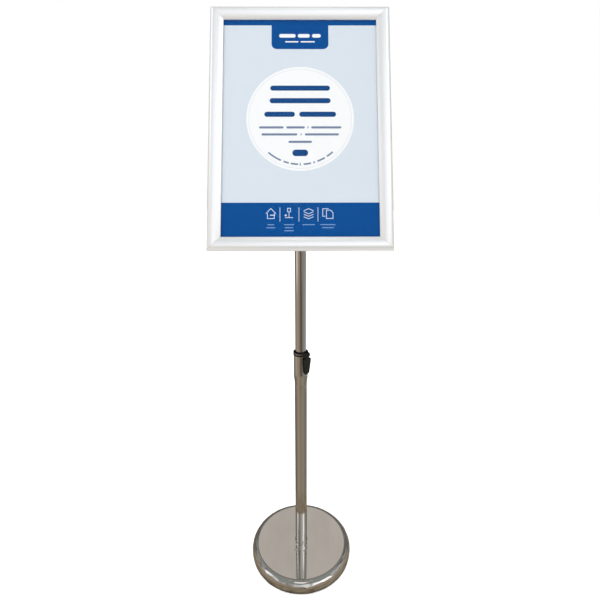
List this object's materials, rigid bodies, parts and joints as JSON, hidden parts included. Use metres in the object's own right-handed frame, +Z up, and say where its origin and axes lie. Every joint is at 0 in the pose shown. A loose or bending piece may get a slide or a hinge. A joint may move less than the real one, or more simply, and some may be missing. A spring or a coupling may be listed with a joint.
{
  "type": "sign stand",
  "caption": "Free-standing A3 sign stand: weighted round base, telescoping pole with lever clamp, tilting and turning head, and a snap frame whose front rails hinge open.",
  "frame": {"origin": "on the pole's axis, on the underside of the base pad where it rests on the floor", "axes": "+Z up along the pole; the sign faces -Y and leans back towards +Y; +X is to the right of a person reading the sign"},
  "size_m": [0.3286, 0.225, 1.1516],
  "materials": {
    "polished_steel": "mirror-polished stainless steel with a faint hazy bloom and fine handling scratches",
    "cast_iron": "rough grey cast iron, unpainted",
    "pad_rubber": "matt black foam rubber sheet",
    "zinc_steel": "bright zinc-plated steel, slightly mottled",
    "black_plastic": "black moulded nylon with a fine satin grain",
    "white_plastic": "natural white nylon",
    "brass": "turned brass",
    "satin_aluminium": "satin silver anodised extruded aluminium with a faint lengthwise grain",
    "spring_steel": "tempered spring steel strip",
    "sheet_steel": "galvanised steel sheet with a faint spangle",
    "printed_paper": null,
    "clear_sheet": "clear flexible plastic sheet, slightly anti-glare"
  },
  "bodies": {
    "stand": {"base_cover": "polished_steel", "base_weight": "cast_iron", "base_pad": "pad_rubber", "base_bolt_washer": "zinc_steel", "base_bolt": "zinc_steel", "foot_plug": "zinc_steel", "lower_tube": "polished_steel", "clamp_bush": "black_plastic", "clamp_collar": "black_plastic", "clamp_band": "polished_steel", "lever_pin": "zinc_steel"},
    "lever": {"clamp_lever": "black_plastic"},
    "shoe": {"clamp_shoe": "black_plastic"},
    "slider": {"guide_plug": "white_plastic"},
    "mast": {"upper_tube": "polished_steel", "head_fitting": "zinc_steel", "tilt_bolt": "zinc_steel", "tilt_washer_left": "zinc_steel", "tilt_washer_right": "zinc_steel"},
    "knob": {"tilt_knob": "black_plastic", "tilt_knob_insert": "brass"},
    "bracket": {"tilt_bracket": "zinc_steel", "swivel_washer": "white_plastic", "pivot_spring_washer": "zinc_steel", "pivot_bolt": "zinc_steel"},
    "sign": {"mount_plate": "zinc_steel", "plate_rivet_1": "zinc_steel", "plate_rivet_2": "zinc_steel", "plate_rivet_3": "zinc_steel", "plate_rivet_4": "zinc_steel", "base_rail_bottom": "satin_aluminium", "base_rail_left": "satin_aluminium", "base_rail_top": "satin_aluminium", "base_rail_right": "satin_aluminium", "leaf_spring_bottom_1": "spring_steel", "leaf_spring_bottom_2": "spring_steel", "leaf_spring_left_1": "spring_steel", "leaf_spring_left_2": "spring_steel", "leaf_spring_top_1": "spring_steel", "leaf_spring_top_2": "spring_steel", "leaf_spring_right_1": "spring_steel", "leaf_spring_right_2": "spring_steel", "corner_bracket_bottom_left": "zinc_steel", "corner_bracket_bottom_right": "zinc_steel", "corner_bracket_top_right": "zinc_steel", "corner_bracket_top_left": "zinc_steel", "back_panel": "sheet_steel", "poster": "printed_paper", "cover_sheet": "clear_sheet"},
    "snap_bottom": {"snap_rail_bottom": "satin_aluminium"},
    "snap_left": {"snap_rail_left": "satin_aluminium"},
    "snap_top": {"snap_rail_top": "satin_aluminium"},
    "snap_right": {"snap_rail_right": "satin_aluminium"}
  },
  "joints": [
    {"name": "lever_hinge", "type": "hinge", "parent": "stand", "child": "lever", "pos_m": [0.01244, -0.01244, 0.4905], "axis": [-0.7071, -0.7071, 0], "range_deg": [0, 100]},
    {"name": "shoe_slide", "type": "slide", "parent": "stand", "child": "shoe", "axis": [0.7071, -0.7071, 0], "range_m": [0, 0.0005]},
    {"name": "height_slide", "type": "slide", "parent": "stand", "child": "slider", "axis": [0, 0, 1], "range_m": [-0.155, 0.04]},
    {"name": "mast_swivel", "type": "hinge", "parent": "slider", "child": "mast", "pos_m": [0, 0, 0.396], "axis": [0, 0, 1], "continuous": true},
    {"name": "knob_turn", "type": "hinge", "parent": "mast", "child": "knob", "pos_m": [0.02, 0, 0.928], "axis": [1, 0, 0], "range_deg": [0, 360]},
    {"name": "sign_tilt", "type": "hinge", "parent": "mast", "child": "bracket", "pos_m": [0, 0, 0.928], "axis": [-1, 0, 0], "range_deg": [-17, 73]},
    {"name": "sign_turn", "type": "hinge", "parent": "bracket", "child": "sign", "pos_m": [0, 0, 0.928], "axis": [0, -0.9563, 0.2924], "range_deg": [0, 90]},
    {"name": "snap_bottom_hinge", "type": "hinge", "parent": "sign", "child": "snap_bottom", "pos_m": [0, -0.0882, 0.71885], "axis": [1, 0, 0], "range_deg": [0, 95]},
    {"name": "snap_left_hinge", "type": "hinge", "parent": "sign", "child": "snap_left", "pos_m": [-0.1643, -0.02219, 0.93478], "axis": [0, -0.2924, -0.9563], "range_deg": [0, 95]},
    {"name": "snap_top_hinge", "type": "hinge", "parent": "sign", "child": "snap_top", "pos_m": [0, 0.04383, 1.15072], "axis": [-1, 0, 0], "range_deg": [0, 95]},
    {"name": "snap_right_hinge", "type": "hinge", "parent": "sign", "child": "snap_right", "pos_m": [0.1643, -0.02219, 0.93478], "axis": [0, 0.2924, 0.9563], "range_deg": [0, 95]}
  ],
  "couplings": [
    {"joint": "shoe_slide", "follows": "lever_hinge", "m_per_rad": 0.000286}
  ]
}
